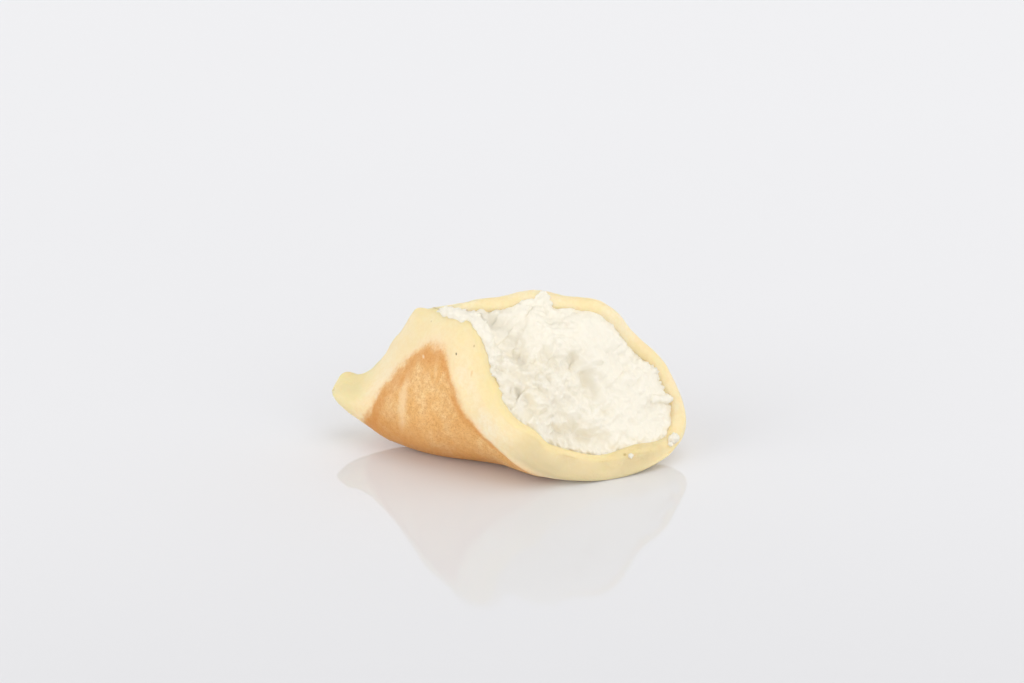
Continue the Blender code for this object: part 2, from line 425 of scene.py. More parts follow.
def normals_of(mesh):
    flat = np.empty(len(mesh.vertices) * 3, np.float32)
    mesh.vertex_normals.foreach_get("vector", flat)
    return flat.reshape(-1, 3).astype(float)


def move_points(mesh, points):
    mesh.vertices.foreach_set("co", points.ravel())
    mesh.update()


def store(mesh, name, values):
    attribute = mesh.attributes.new(name, "FLOAT", "POINT")
    attribute.data.foreach_set("value", np.asarray(values, np.float32))


def shade_smooth(mesh):
    mesh.polygons.foreach_set("use_smooth", [True] * len(mesh.polygons))


def bumps(points, size, octaves=3, shift=0.0):
    """Rounded random unevenness of a given size, about -1 to 1."""
    scaled = points / size + shift
    return np.array([noise.fractal(p, 1.0, 2.0, octaves) for p in scaled.tolist()])


def clots(points, size, shift=0.0):
    """Round lumps of a given size with sharp creases between them, about -1 to 1."""
    scaled = points / size + shift
    return np.array([abs(noise.noise(p)) * 4 - 1 for p in scaled.tolist()])


# The pancake

# The browned middle, in pancake radii: its centre, then its reach by the angle round it.
BROWN_CENTRE = (-0.15, 0.13)
BROWN_REACH = (
    (-180, 0.62),
    (-120, 0.64),
    (-60, 0.62),
    (-10, 0.60),
    (25, 0.72),
    (34, 0.74),
    (42, 0.62),
    (52, 0.565),
    (62, 0.53),
    (72, 0.56),
    (80, 0.66),
    (86, 0.715),
    (94, 0.72),
    (108, 0.71),
    (118, 0.68),
    (132, 0.635),
    (145, 0.63),
    (160, 0.635),
    (180, 0.62),
)
# The skin's unevenness: heights, then sizes across.
PUFF = 0.30
PUFF_SIZE = 13.0
RIPPLE = 0.10
RIPPLE_SIZE = 4.0
PORES = 0.035
PORE_SIZE = 1.1
# The pale skin is thicker: by how much, over which depths of the browned middle, and where
# it ends at the rim, as a share of the pancake's radius.
PALE_PUFF = 0.5
PALE_RUN = (3.0, -6.0)
PALE_END = (1.02, 0.93)
# Above this height the skin is as uneven as anywhere, and at the foot it has this share left.
FREE_FROM = 3.0
SETTLED_SHARE = 0.1
# Where the skin is evened out, by share of the radius and by angle, and how many times.
HEM_START = (0.70, 0.82)
HEM_END = (1.025, 0.96)
HEM_RELAX = 150
SEAM_START = (0.75, 0.92)
SEAM_ANGLES = (95.0, 112.0)
SEAM_RELAX = 60
# A low swelling of the browned front wall by the lip: its middle, radius and height, and
# over which depths of the browned middle it starts.
SWELLING = ((6.0, -11.0, 2.5), 6.5, 0.7)
SWELLING_RUN = (-2.0, 2.0)
# Dents in the lip: angle, turn round the edge, radius, depth.
DENTS = ((25.5, 45, 2.0, 1.0), (37, 25, 2.2, 1.0), (47, 8, 2.6, 0.7), (19.5, 72, 0.6, 0.35))


def flat_place(angle, share):
    """Where a point of the folded sheet lies on the flat pancake: x to the mouth, y to the front."""
    turn = math.radians(angle)
    return DISC_RADIUS * share * math.cos(turn), DISC_RADIUS * share * math.sin(turn)


def layer_values(angles, rows, inside):
    """Flat place and side (0 browned face, 1 inner face) for each point of a layer's grid."""
    t = np.linspace(0.0, 1.0, rows + 1)[:, None]
    turn = np.radians(np.array(angles))[None, :]
    x = DISC_RADIUS * np.cos(turn) * np.ones_like(t)
    y = DISC_RADIUS * np.sin(turn) * t
    return np.stack([x, y, np.full_like(x, inside)], axis=-1)


def edge_grid(angles, spans):
    """The rounded edge over spans of turns, with its values: it goes on past the flat rim."""
    places, values = [], []
    for angle, turns in zip(angles, spans):
        places.append([edge(angle, turn) for turn in turns])
        run = np.radians(turns - turns[0]) * half_width(angle) / DISC_RADIUS
        values.append([(*flat_place(angle, 1 + r), turn / 180) for r, turn in zip(run, turns)])
    return np.array(places), np.array(values)


def brown_depth(values):
    """How far inside the browned middle each point lies, in millimetres; minus is outside."""
    offset = values[:, :2] / DISC_RADIUS - BROWN_CENTRE
    round_by = np.degrees(np.arctan2(offset[:, 1], offset[:, 0]))
    keys, reach = np.array(BROWN_REACH).T
    depth = (np.interp(round_by, keys, reach) - np.hypot(*offset.T)) * DISC_RADIUS
    return np.where(values[:, 2] > 0.5, -DISC_RADIUS, depth)


def relaxed(points, faces, share, times):
    """Evens out the points a little, each by its own share, as dough does."""
    pairs = np.array([(a, b) for face in faces for a, b in zip(face, face[1:] + face[:1])])
    both = np.concatenate([pairs, pairs[:, ::-1]])
    both = both[share[both[:, 0]] > 0]
    moving, rank = np.unique(both[:, 0], return_inverse=True)
    count = np.bincount(rank)
    points = points.copy()
    for _ in range(times):
        for axis in range(3):
            mean = np.bincount(rank, points[both[:, 1], axis]) / count
            points[moving, axis] += (mean - points[moving, axis]) * share[moving]
    return points


def skin_sheet():
    """Points, values and faces of the outer face, the inner face and the rounded edge."""
    patches = Patches()
    outer = Layer(outer_edge, 0.0)
    inner = Layer(inner_edge, WALL)
    for side in (-1.0, 1.0):
        angles = half_angles(side)
        patches.add(outer.grid(angles, SKIN_ROWS), layer_values(angles, SKIN_ROWS, 0.0))
        patches.add(inner.grid(angles, INNER_ROWS), layer_values(angles, INNER_ROWS, 1.0))
        free = angles[: FREE_STEPS + 1]
        spans = [np.linspace(first_turn(a), last_turn(a), EDGE_STEPS + 1) for a in free]
        patches.add(*edge_grid(free, spans))
    seam = half_angles(-1.0)[FREE_STEPS:]
    over = np.linspace(0.0, 180.0, 2 * EDGE_STEPS + 1)
    patches.add(*edge_grid(seam, [over] * len(seam)))
    return patches.weld()


def softened(points, values, faces, share):
    """The sheet with its hem and the skin beside the seam evened out."""
    angle = np.abs(np.degrees(np.arctan2(values[:, 1], values[:, 0])))
    outside = values[:, 2] < 0.5
    hem = smooth(share, *HEM_START) * smooth(share, *HEM_END) * outside
    by_seam = smooth(share, *SEAM_START) * outside * smooth(angle, *SEAM_ANGLES)
    points = relaxed(points, faces, hem, HEM_RELAX)
    points = relaxed(points, faces, by_seam, SEAM_RELAX)
    points[:, 2] = np.maximum(points[:, 2], 0.0)
    return points


def skin_lift(points, brown, share):
    """How far the skin stands out at each point."""
    lift = PUFF * bumps(points, PUFF_SIZE) + RIPPLE * bumps(points, RIPPLE_SIZE, octaves=2, shift=7.0)
    lift += PORES * bumps(points, PORE_SIZE, octaves=2, shift=3.0)
    lift += PALE_PUFF * smooth(brown, *PALE_RUN) * smooth(share, *PALE_END)
    middle, radius, height = SWELLING
    swell = np.exp(-((np.linalg.norm(points - middle, axis=1) / radius) ** 2))
    lift += height * swell * smooth(brown, *SWELLING_RUN)
    for around, turn, radius, depth in DENTS:
        gap = np.linalg.norm(points - edge(around, turn), axis=1) / radius
        lift -= depth * np.exp(-(gap**2))
    return lift * (SETTLED_SHARE + (1 - SETTLED_SHARE) * smooth(points[:, 2], 0.0, FREE_FROM))


def build_pancake():
    points, values, faces = skin_sheet()
    points[:, 2] = np.maximum(points[:, 2] - PRESSED_FLAT, 0.0)
    piece = mesh_of("pancake_skin", points, faces)
    mesh = piece.data
    share = np.hypot(values[:, 0], values[:, 1]) / DISC_RADIUS
    points = softened(points, values, faces, share)
    move_points(mesh, points)
    brown = brown_depth(values)
    points = points + normals_of(mesh) * skin_lift(points, brown, share)[:, None]
    points[:, 2] = np.maximum(points[:, 2], 0.0)
    move_points(mesh, points)
    store(mesh, "brown", brown)
    store(mesh, "inside", values[:, 2])
    store(mesh, "flat_x", values[:, 0])
    store(mesh, "flat_y", values[:, 1])
    shade_smooth(mesh)
    return piece


# The cream

# Where the cream ends on the lip, as a turn round the edge: 90 is its top, 180 its inner face.
SHORE = (
    (-111, 90),
    (-100, 140),
    (-90, 200),
    (-80, 200),
    (-75, 172),
    (-60, 165),
    (-45, 178),
    (-30, 185),
    (-15, 222),
    (0, 232),
    (15, 200),
    (30, 180),
    (45, 190),
    (58, 180),
    (65, 72),
    (70, 88),
    (76, 138),
    (82, 172),
    (86, 115),
    (91, 98),
    (111, 90),
)
# How far that border wanders, in degrees of turn, and over how many degrees of angle.
WAVER = 30.0
WAVER_SIZE = 2.6
# How deep the border sits in the lip, and how high the face swells between, by angle.
CREAM_SUNK = 0.9
CREAM_RISE = ((0, 0.0), (8, 1.6), (30, 3.2), (60, 2.8), (90, 1.2), (111, 0.0))
# How far along the seam's pocket the cream reaches, how far below it, and how soon.
CREAM_TAIL_REACH = 0.8
CREAM_TAIL_DROP = 1.6
CREAM_TAIL_RUN = 0.25
CREAM_LOWEST = 0.5
# The face's unevenness: heights, then sizes across. The streaks are longer than they are
# wide, along the way between two (angle, share across) places.
LUMPS = 0.8
LUMP_SIZE = 10.0
CLOTS = 0.50
CLOT_SIZE = 3.6
CURDS = 0.38
CURD_SIZE = 1.7
STREAKS = 0.24
STREAK_SIZE = 1.3
STREAK_LENGTH = 3.0
SPREAD_FROM = (80, 0.5)
SPREAD_TO = (35, 0.2)
CRUMBLE = 0.15
CRUMBLE_SIZE = 0.8
# The ragged border: heights, sizes, how wide a strip it is, and how its strength varies.
FRINGE = 0.60
FRINGE_SIZE = 1.6
FRINGE_REACH = 1.5
FRINGE_SPAN = (0.5, 1.6)
FRINGE_MEAN = 0.8
FRINGE_PATCH = 7.0
FRINGE_END = 95.0
FRINGE_POINTS = 400
RAGS = 0.28
RAG_SIZE = 1.0
# The face is calmer to the right and near the top, over these runs; there it is also painted whiter,
# as painted light.
TO_THE_RIGHT = np.array((0.946, 0.326, 0.0))
RIGHT_RUN = (6.0, 24.0)
TOP_RUN = (24.0, 30.0)
CALM_RIGHT = 0.55
CALM_TOP = 0.4
LUMPS_LESS_RIGHT = 0.4
FRINGE_LESS_TOP = 0.7
# How much the roughness varies from patch to patch: its mean, its spread and the patches' size.
PATCH_MEAN = 0.85
PATCH_SPREAD = 0.6
PATCH_SIZE = 9.0
# Smears and flaps of cream on the lip. A place there is (angle, turn, height above it), and
# one on the open face (angle, share across, height above it). The ridge and the tongue run
# between two angles, and their shapes are the steps, radius, lead, whole and fullness that
# spindle() takes.
RIDGE_ENDS = (70, 110)
RIDGE_SHAPE = (18, 2.0, 0.9, 19, 0.45)
RIDGE_TURN = 146
RIDGE_FALL = 0.5
RIDGE_OUT = 0.2
TONGUE_ENDS = (93, 108.5)
TONGUE_SHAPE = (12, 1.7, 1.5, 14, 0.4)
TONGUE_SUNK = 0.2
SAIL_TIP = (-77, 92, 0.6)
SAIL_FEET = ((80.5, 0.88), (72.5, 0.97))
SAIL_RIBS = 9
SAIL_RADII = (0.8, 0.35)
SMEARS = ((105, 95, 0.40), (101, 92, 0.35), (97, 89, 0.34), (92, 86, 0.30))
SMEAR_TURN = 130
SMEAR_SUNK = 0.6
SMEAR_RADII = (1.8, 2.0)
FLAKE = ((26, 0.70, 0.6), (20.5, 0.95, 1.4))
FLAKE_RADII = (0.75, 0.35)
# A tube's rings are set out from a way that no sweep runs.
TUBE_SIDES = 14
NO_TUBE_RUNS = (0.3, 0.8, 0.52)
TAPER_STEPS = 8
FURROW_STEPS = 24
# Furrows and folds of the cream's face: the places along each, as (angle, share across
# from front to back), then its half width and its height in millimetres.
FURROWS = (
    (((97, 0.52), (88, 0.47), (81.5, 0.40), (75, 0.35), (71, 0.31)), 2.0, -2.2),
    (((78, 0.14), (71.5, 0.22), (66, 0.25), (61.5, 0.22)), 0.7, 0.8),
    (((76, 0.26), (70, 0.33), (63, 0.36), (58, 0.33)), 1.2, -0.9),
    (((66, 0.10), (59.5, 0.12), (48.5, 0.12), (37.5, 0.11), (30, 0.14)), 1.8, -2.0),
    (((64.5, 0.47), (59, 0.45), (54, 0.52), (47, 0.51), (41, 0.44), (37, 0.40)), 1.6, -1.5),
    (((55, 0.55), (53.5, 0.50)), 1.0, -1.6),
    (((48, 0.53), (46, 0.50)), 1.1, -1.2),
    (((63, 0.145), (61.5, 0.15)), 0.7, -1.6),
    (((77, 0.57), (73, 0.50)), 1.8, -1.0),
    (((50, 0.22), (45, 0.20), (41, 0.22)), 1.4, -1.0),
    (((40, 0.16), (37, 0.13), (34, 0.12)), 1.1, -1.3),
    (((76, 0.72), (70, 0.62), (64, 0.63)), 2.2, 1.0),
    (((60, 0.84), (52, 0.86), (44, 0.85)), 2.4, 0.8),
    (((62, 0.36), (56, 0.38), (52, 0.33)), 1.6, 0.6),
    (((58, 0.62), (50, 0.66), (42, 0.62)), 2.0, 0.6),
    (((40, 0.62), (34, 0.72), (28, 0.70)), 2.2, 0.7),
)


@functools.lru_cache(maxsize=None)
def shore(angle, sunk=CREAM_SUNK):
    """The cream's rim, a little inside the pancake so that no gap shows."""
    waver = noise.noise(Vector((angle / WAVER_SIZE, 0.0, 0.0))) * (1 - pinched(angle))
    turn = table_value(SHORE, angle) + WAVER * waver
    down = math.radians(max(turn - 180, 0.0)) * half_width(angle)
    return edge(angle, min(turn, 180.0), sunk) - arrival(angle) * down


def cream_wall_edge(angle):
    """The rim of the cream's hidden walls: the shore, then the seam's inside."""
    if abs(angle) <= PINCH_ANGLE:
        return shore(angle)
    back = (abs(angle) - PINCH_ANGLE) / (180 - PINCH_ANGLE)
    under = PINCH_ANGLE + (180 - PINCH_ANGLE) * back * CREAM_TAIL_REACH
    drop = CREAM_SUNK + CREAM_TAIL_DROP * smooth(back, 0.0, CREAM_TAIL_RUN)
    return seam_inside(under, SEAM_DEPTH) - SEAM_AXIS * drop


def face_point(angle, across):
    """The cream's open face before its lumps: across runs 0 to 1 from the front to the back."""
    angle = max(angle, NEARLY_ZERO)
    flat = shore(angle) * (1 - across) + shore(-angle) * across
    swell = 1 - abs(2 * across - 1) ** 3
    return flat + unit(MOUTH_AXIS) * swell * table_value(CREAM_RISE, angle)


def tube(path, radii):
    """A closed round tube along a path, with a radius at each point."""
    path = np.array(path)
    turns = np.linspace(0, math.tau, TUBE_SIDES + 1)[:-1]
    rings = []
    for place, way, radius in zip(path, np.gradient(path, axis=0), radii):
        across = unit(np.cross(unit(way), NO_TUBE_RUNS))
        other = np.cross(unit(way), across)
        ring = [place + radius * (math.cos(t) * across + math.sin(t) * other) for t in turns]
        rings.append([*ring, ring[0]])
    ends = [[path[0]] * (TUBE_SIDES + 1)], [[path[-1]] * (TUBE_SIDES + 1)]
    return np.concatenate([ends[0], rings, ends[1]])


def on_lip(angle, turn, out):
    """A point out from the lip's rounded face."""
    return edge(angle, turn, -out)


def on_face(angle, across, out=0.0):
    """A point out from the cream's open face."""
    return face_point(angle, across) + unit(MOUTH_AXIS) * out


def tapered(start, end, first, last):
    """A straight path between two places, and its radii from first to last."""
    shares = np.linspace(0.0, 1.0, TAPER_STEPS)
    return [start * (1 - s) + end * s for s in shares], [first * (1 - s) + last * s for s in shares]


def spindle(steps, radius, lead, whole, fullness):
    """Radii of a sweep that is thick in the middle and thinner towards both ends."""
    return [radius * math.sin(math.pi * (i + lead) / whole) ** fullness for i in range(steps)]


def cream_sweeps():
    """The smears and flaps of cream that lie on the lip, each a path and its radii."""
    radii = spindle(*RIDGE_SHAPE)
    angles = np.linspace(*RIDGE_ENDS, len(radii))
    turns = RIDGE_TURN - RIDGE_FALL * (angles - RIDGE_ENDS[0])
    yield [on_lip(angle, turn, RIDGE_OUT) for angle, turn in zip(angles, turns)], radii
    radii = spindle(*TONGUE_SHAPE)
    angles = np.linspace(*TONGUE_ENDS, len(radii))
    yield [crest(angle) - unit(SEAM_AXIS) * TONGUE_SUNK for angle in angles], radii
    left, right = (on_face(*foot) for foot in SAIL_FEET)
    for share in np.linspace(0.0, 1.0, SAIL_RIBS):
        yield tapered(left * (1 - share) + right * share, on_lip(*SAIL_TIP), *SAIL_RADII)
    for start, end, across in SMEARS:
        yield tapered(on_lip(start, SMEAR_TURN, -SMEAR_SUNK), on_face(end, across), *SMEAR_RADII)
    yield tapered(*(on_face(*place) for place in FLAKE), *FLAKE_RADII)


def nearness(points, path, reach):
    """1 on a path and 0 away from it, for each point."""
    tree = kdtree.KDTree(len(path))
    for i, place in enumerate(path):
        tree.insert(place, i)
    tree.balance()
    gaps = np.array([tree.find(place)[2] for place in points.tolist()])
    return np.exp(-((gaps / reach) ** 2))


def furrow_path(places):
    """Points on the cream's face along a line through (angle, share across) places."""
    knots = np.array(places, float)
    marks = np.linspace(0, len(knots) - 1, FURROW_STEPS)
    angles, shares = (np.interp(marks, range(len(knots)), column) for column in knots.T)
    return [face_point(a, t) for a, t in zip(angles, shares)]


def streaks(points):
    """Unevenness drawn out along the way the cream was spread, down the face."""
    way = unit(face_point(*SPREAD_TO) - face_point(*SPREAD_FROM))
    run = points @ way
    drawn_out = points - np.outer(run * (1 - 1 / STREAK_LENGTH), way)
    return bumps(drawn_out, STREAK_SIZE, octaves=2, shift=9.0)


def apply_modifier(piece, kind, **settings):
    modifier = piece.modifiers.new(kind.lower(), kind)
    for key, value in settings.items():
        setattr(modifier, key, value)
    graph = bpy.context.evaluated_depsgraph_get()
    made = bpy.data.meshes.new_from_object(piece.evaluated_get(graph))
    piece.modifiers.clear()
    piece.data = made


def cream_shapes():
    """Points and faces of the cream's body and of its sweeps, which overlap it."""
    patches = Patches()
    body = Layer(cream_wall_edge, WALL - CREAM_SUNK)
    for side in (-1.0, 1.0):
        patches.add(body.grid(half_angles(side, FACE_ROWS, CREAM_SEAM_STEPS), BODY_ROWS))
    face_angles = np.linspace(0.0, PINCH_ANGLE, FACE_ROWS + 1)
    across = np.linspace(0.0, 1.0, FACE_COLUMNS + 1)
    patches.add(np.array([[face_point(a, t) for t in across] for a in face_angles]))
    for path, radii in cream_sweeps():
        patches.add(tube(path, radii))
    points, _, faces = patches.weld()
    points[:, 2] = np.maximum(points[:, 2] - PRESSED_FLAT, CREAM_LOWEST)
    return points, faces


def cream_fringe(points, top):
    """How far the cream's border stands out or draws in at each point."""
    rim = [shore(angle, 0.0) for angle in np.linspace(-FRINGE_END, FRINGE_END, FRINGE_POINTS)]
    strength = nearness(points, rim, FRINGE_REACH)
    strength *= np.clip(FRINGE_MEAN + bumps(points, FRINGE_PATCH, octaves=1, shift=1.5), *FRINGE_SPAN)
    strength *= 1 - FRINGE_LESS_TOP * top
    ragged = FRINGE * bumps(points, FRINGE_SIZE, octaves=2, shift=2.0)
    return strength * (ragged + RAGS * clots(points, RAG_SIZE, shift=6.0))


def cream_lift(points, right, top):
    """How far the cream stands out at each point."""
    rough = (1 - CALM_RIGHT * right) * (1 - CALM_TOP * top)
    rough *= PATCH_MEAN + PATCH_SPREAD * bumps(points, PATCH_SIZE, octaves=1, shift=4.0)
    lift = CLOTS * clots(points, CLOT_SIZE) + CURDS * clots(points, CURD_SIZE, shift=8.0)
    lift += STREAKS * streaks(points) + CRUMBLE * clots(points, CRUMBLE_SIZE, shift=5.0)
    lift *= rough
    lift += LUMPS * bumps(points, LUMP_SIZE, octaves=2) * (1 - LUMPS_LESS_RIGHT * right)
    lift += cream_fringe(points, top)
    for places, reach, height in FURROWS:
        lift += height * nearness(points, furrow_path(places), reach)
    return lift


def build_cream():
    piece = mesh_of("cream_filling", *cream_shapes())
    apply_modifier(piece, "REMESH", mode="VOXEL", voxel_size=CREAM_VOXEL, adaptivity=0.0)
    apply_modifier(piece, "SMOOTH", iterations=4, factor=0.5)
    mesh = piece.data
    points = points_of(mesh)
    right, top = smooth(points @ TO_THE_RIGHT, *RIGHT_RUN), smooth(points[:, 2], *TOP_RUN)
    move_points(mesh, points + normals_of(mesh) * cream_lift(points, right, top)[:, None])
    # Painted light: how far the cream is whitened to the right and near the top.
    store(mesh, "whiter_painted_light", np.maximum(right, top))
    apply_modifier(piece, "SMOOTH", iterations=1, factor=0.35)
    shade_smooth(piece.data)
    return piece


# Crumbs of cream on the lip: angle, turn round the edge, height above it, radius, drawn out by.
CRUMBS = (
    (0.5, 81, 0.5, 1.05, 1.35),
    (2.5, 68, 0.3, 0.55, 1.0),
    (18.0, 54, 0.2, 0.50, 1.2),
)
CRUMB_ROUGH = 0.35
CRUMB_KNOBS = 1.6


def build_crumbs():
    """Crumbs of cream as small closed lumps, in one piece."""
    balls = bmesh.new()
    for angle, turn, out, radius, drawn in CRUMBS:
        made = bmesh.ops.create_icosphere(balls, subdivisions=4, radius=1.0)["verts"]
        middle = Vector(on_lip(angle, turn, out))
        up = Vector(unit(heading(angle)))
        for vertex in made:
            way = vertex.co.copy()
            knobs = noise.fractal(way * CRUMB_KNOBS + middle, 1.0, 2.0, 3)
            reach = radius * (1 + CRUMB_ROUGH * knobs)
            vertex.co = middle + reach * (way + up * way.dot(up) * (drawn - 1))
    mesh = bpy.data.meshes.new("cream_crumbs")
    balls.to_mesh(mesh)
    balls.free()
    # The crumbs take the whiter tone all over, the same tone that is painted as light on the cream's
    # right and top.
    store(mesh, "whiter_painted_light", np.ones(len(mesh.vertices)))
    shade_smooth(mesh)
    piece = bpy.data.objects.new("cream_crumbs", mesh)
    bpy.context.scene.collection.objects.link(piece)
    return piece


def fit(pieces, skin):
    """Scales and moves the pieces so that the skin fills the CAD pancake's box."""
    low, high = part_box("pancake")
    points = points_of(skin.data)
    least, most = points.min(0), points.max(0)
    scale = (high.x - low.x) / (most[0] - least[0])
    middle = Vector(((least[0] + most[0]) / 2, (least[1] + most[1]) / 2, least[2])) * scale
    target = Vector(((low.x + high.x) / 2, (low.y + high.y) / 2, low.z))
    for piece in pieces:
        piece.data.transform(Matrix.Translation(target - middle) @ Matrix.Scale(scale, 4))


# Materials


class Nodes:
    """A short way to build a node material."""

    def __init__(self, name):
        self.material = bpy.data.materials.new(name)
        self.material.use_nodes = True
        self.tree = self.material.node_tree
        self.shader = self.tree.nodes["Principled BSDF"]

    def add(self, kind, inputs=None, **settings):
        node = self.tree.nodes.new(kind)
        for key, value in settings.items():
            setattr(node, key, value)
        for key, value in (inputs or {}).items():
            self.put(node.inputs[key], value)
        return node

    def put(self, socket, value):
        if isinstance(value, bpy.types.NodeSocket):
            self.tree.links.new(value, socket)
        else:
            socket.default_value = value

    def attribute(self, name):
        return self.add("ShaderNodeAttribute", attribute_name=name).outputs["Fac"]

    def noise(self, size, detail=3.0, rough=0.55, warp=0.0):
        """Noise with features of a given size in millimetres, 0 to 1."""
        return self.add(
            "ShaderNodeTexNoise",
            {
                "Vector": self.add("ShaderNodeTexCoord").outputs["Object"],
                "Scale": 1 / (size * MM),
                "Detail": detail,
                "Roughness": rough,
                "Distortion": warp,
            },
        ).outputs["Fac"]

    def math(self, kind, a, b=0.0):
        node = self.add("ShaderNodeMath", operation=kind)
        for socket, value in zip(node.inputs, (a, b)):
            self.put(socket, value)
        return node.outputs[0]

    def product(self, *values):
        return functools.reduce(functools.partial(self.math, "MULTIPLY"), values)

    def wander(self, reach, size, detail, rough):
        """Noise that wanders to either side of 0, by half its reach."""
        return self.product(self.math("SUBTRACT", self.noise(size, detail, rough), 0.5), reach)

    def length(self, a, b):
        return self.math("SQRT", self.math("ADD", self.product(a, a), self.product(b, b)))

    def ramp(self, value, start, end, low=0.0, high=1.0):
        """An even run from low at start to high at end."""
        return self.add(
            "ShaderNodeMapRange",
            {"Value": value, "From Min": start, "From Max": end, "To Min": low, "To Max": high},
            interpolation_type="SMOOTHSTEP",
        ).outputs["Result"]

    def mix(self, share, a, b):
        node = self.add("ShaderNodeMix", data_type="RGBA")
        self.put(node.inputs["Factor"], share)
        for socket, value in ((node.inputs[6], a), (node.inputs[7], b)):
            self.put(socket, value if isinstance(value, bpy.types.NodeSocket) else (*value, 1.0))
        return node.outputs[2]

    def bump(self, height, depth, under=None):
        inputs = {"Height": height, "Distance": depth * MM}
        if under:
            inputs["Normal"] = under
        return self.add("ShaderNodeBump", inputs).outputs["Normal"]

    def set(self, **inputs):
        for key, value in inputs.items():
            self.put(self.shader.inputs[key.replace("_", " ")], value)


# Base colours of the browned skin: its ground, the darker spots in it, its margin, and the
# painted shade on its lower part by the fold.
GOLDEN = (0.855, 0.495, 0.172)
GOLDEN_LIGHT = (0.925, 0.645, 0.30)
TOASTED = (0.68, 0.31, 0.08)
TOASTED_PORES = (0.55, 0.22, 0.05)
BROWN_MARGIN = (0.70, 0.29, 0.06)
BROWN_PAINTED_SHADE = (0.62, 0.25, 0.045)
# And of the pale skin: its ground, its spots, beside the brown, at the rim, on the inner
# face, the painted shade on the lower front lip, and at the tail.
PALE = (0.93, 0.78, 0.495)
PALE_LIGHT = (0.96, 0.84, 0.63)
PALE_SPOTS = (0.86, 0.62, 0.26)
PALE_BY_BROWN = (0.94, 0.68, 0.36)
RIM_YELLOW = (0.91, 0.73, 0.36)
INNER_YELLOW = (0.90, 0.72, 0.34)
LIP_PAINTED_SHADE = (0.72, 0.595, 0.345)
TAIL_YELLOW = (0.80, 0.70, 0.37)
SPECK = (0.45, 0.28, 0.08)
STREAK = (0.93, 0.68, 0.36)
# Marks on the skin: flat place to the mouth and to the front, half sizes that way and
# this, strength, colour. The streaks sway a little.
SPECKS = (
    (1.0, 34.9, 0.28, 0.28, 0.9, (0.16, 0.09, 0.02)),
    (4.2, 39.7, 0.25, 0.25, 0.5, SPECK),
    (7.6, 35.8, 0.4, 0.8, 0.4, (0.78, 0.46, 0.16)),
    (-13.2, 38.0, 0.22, 0.22, 0.5, SPECK),
    (39.2, 13.8, 0.35, 0.35, 0.6, (0.50, 0.34, 0.10)),
    (-13.5, 30.3, 0.6, 0.4, 0.6, (0.95, 0.78, 0.52)),
)
PALE_STREAKS = (
    (-19.2, 18.0, 1.5, 6.0, 0.60, (0.95, 0.73, 0.42)),
    (-6.0, 28.0, 0.7, 2.5, 0.35, STREAK),
    (-30.4, 11.7, 0.6, 4.0, 0.35, STREAK),
)
# How close the fine folds across the lip are, as radians of their wave in each radian of edge.
WRINKLES = 190.0
# How deep the fine relief is, in millimetres.
WRINKLE_DEPTH = 0.03
PORE_DEPTH = 0.11
DIMPLE_DEPTH = 0.12
# The cream is mottled in two tones, and painted nearly white to the right and near the top, as
# painted light.
CREAM_TONE = (0.875, 0.815, 0.67)
CREAM_LIGHT = (0.895, 0.85, 0.74)
CREAM_PAINTED_LIGHT = (0.915, 0.865, 0.74)
FLOOR_TONE = (0.785, 0.787, 0.805)


def browned_colour(n, inside, to_front):
    """The browned skin, by how far inside its border a point lies."""
    colour = n.mix(n.ramp(n.noise(5.0, 4.0, 0.6, 0.6), 0.36, 0.68), GOLDEN, GOLDEN_LIGHT)
    colour = n.mix(n.ramp(n.noise(1.1, 3.0, 0.6), 0.30, 0.60, 0.45, 0.0), colour, TOASTED)
    colour = n.mix(n.ramp(n.noise(0.35, 2.0, 0.65), 0.30, 0.55, 0.5, 0.0), colour, TOASTED_PORES)
    margin = n.product(n.ramp(inside, 0.0, 1.6), n.ramp(inside, 5.5, 2.0), 0.55)
    colour = n.mix(margin, colour, BROWN_MARGIN)
    # Painted shade: the browned skin darkens towards the fold at the bottom.
    return n.mix(n.ramp(to_front, 20.0, 5.0, 0.0, 0.7), colour, BROWN_PAINTED_SHADE)


def pale_colour(n, inside, to_mouth, out, turn):
    """The pale skin, more yellow at the rim and on the inner face, with painted shade on the lower
    front lip.
    """
    colour = n.mix(n.ramp(n.noise(7.0, 3.0), 0.35, 0.7), PALE, PALE_LIGHT)
    colour = n.mix(n.ramp(n.noise(0.9, 3.0, 0.7), 0.36, 0.6, 0.25, 0.0), colour, PALE_SPOTS)
    colour = n.mix(n.ramp(inside, -6.0, -0.5, 0.0, 0.35), colour, PALE_BY_BROWN)
    # The rim and the inner face are yellow in their own colour. Painted shade makes that yellow full
    # on the lower front lip and only about a third as strong on the lit back lip.
    front = n.ramp(turn, -0.3, 0.3, 0.35, 1.0)
    colour = n.mix(n.product(n.ramp(out, 33.0, 40.0, 0.0, 0.5), front), colour, RIM_YELLOW)
    inner = n.ramp(n.attribute("inside"), 0.1, 0.4, 0.0, 0.4)
    colour = n.mix(n.product(inner, front), colour, INNER_YELLOW)
    # Painted shade: a band of the front lip near its lower edge is darkened as if less light fell on
    # it.
    by_angle = n.ramp(turn, 0.0, 0.3), n.ramp(turn, 1.0, 0.75)
    lip_shade = n.product(*by_angle, n.ramp(out, 43.5, 36.5), n.ramp(out, 28.0, 33.0))
    colour = n.mix(lip_shade, colour, LIP_PAINTED_SHADE)
    return n.mix(n.ramp(to_mouth, -33.0, -38.0, 0.0, 0.7), colour, TAIL_YELLOW)


def marked(n, colour, marks, to_mouth, to_front):
    """The colour with small soft-edged marks on it."""
    for x, y, wide, tall, share, tone in marks:
        across = n.math("DIVIDE", n.math("SUBTRACT", to_mouth, x), wide)
        along = n.math("DIVIDE", n.math("SUBTRACT", to_front, y), tall)
        colour = n.mix(n.ramp(n.length(across, along), 1.4, 0.3, 0.0, share), colour, tone)
    return colour


